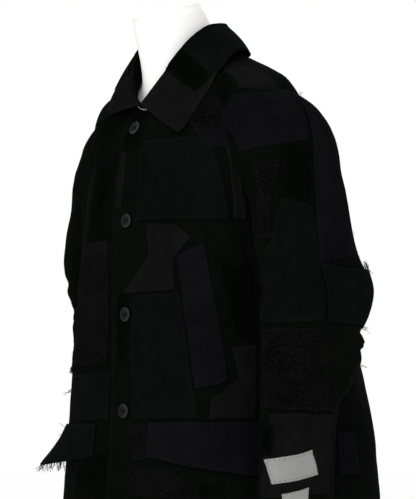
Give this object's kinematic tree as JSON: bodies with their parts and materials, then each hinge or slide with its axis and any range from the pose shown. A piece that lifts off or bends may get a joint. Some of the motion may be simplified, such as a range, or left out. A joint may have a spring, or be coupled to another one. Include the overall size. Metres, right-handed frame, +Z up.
{
  "type": "patched coat on a limbless dress form",
  "caption": "Long dark wool coat of sewn-on patches with a turn-down collar, flap pockets and a button front, worn closed on a white dress form with a pole and a round base.",
  "frame": {"origin": "middle of the stand's flat underside, on the floor, under the form's neck", "axes": "+Z up along the pole, the front of the coat faces -Y, the wearer's left side is +X"},
  "size_m": [0.6621, 0.5333, 1.561],
  "materials": {
    "black_melton": "matte felted wool",
    "charcoal_wool": "matte plain-woven wool",
    "brown_grey_wool": "matte worn wool",
    "cotton_velvet": "deep short pile",
    "bluish_melton": "matte felted wool",
    "boucle": "looped, speckled",
    "woven_label": "woven, blank",
    "button_plastic": "polished, pale worn rim",
    "form_shell": "satin white",
    "stand_steel": "satin white"
  },
  "bodies": {
    "root": {"front_left": "black_melton", "front_right": "black_melton", "back": "black_melton", "sleeve_left": "black_melton", "sleeve_right": "black_melton", "patch_chest": "charcoal_wool", "patch_elbow": "charcoal_wool", "fringe_elbow": "charcoal_wool", "patch_waist": "brown_grey_wool", "patch_hip": "brown_grey_wool", "collar": "brown_grey_wool", "patch_side": "cotton_velvet", "patch_right_velvet": "cotton_velvet", "patch_sleeve_velvet": "cotton_velvet", "welt_left": "bluish_melton", "flap_left": "bluish_melton", "flap_right": "bluish_melton", "fringe_flap": "bluish_melton", "patch_right_boucle": "boucle", "strip_sleeve": "boucle", "patch_sleeve_boucle": "boucle", "fringe_right": "boucle", "label_upper": "woven_label", "label_lower": "woven_label", "button_1": "button_plastic", "button_2": "button_plastic", "button_3": "button_plastic", "button_4": "button_plastic", "dress_form": "form_shell", "stand": "stand_steel"}
  },
  "joints": []
}
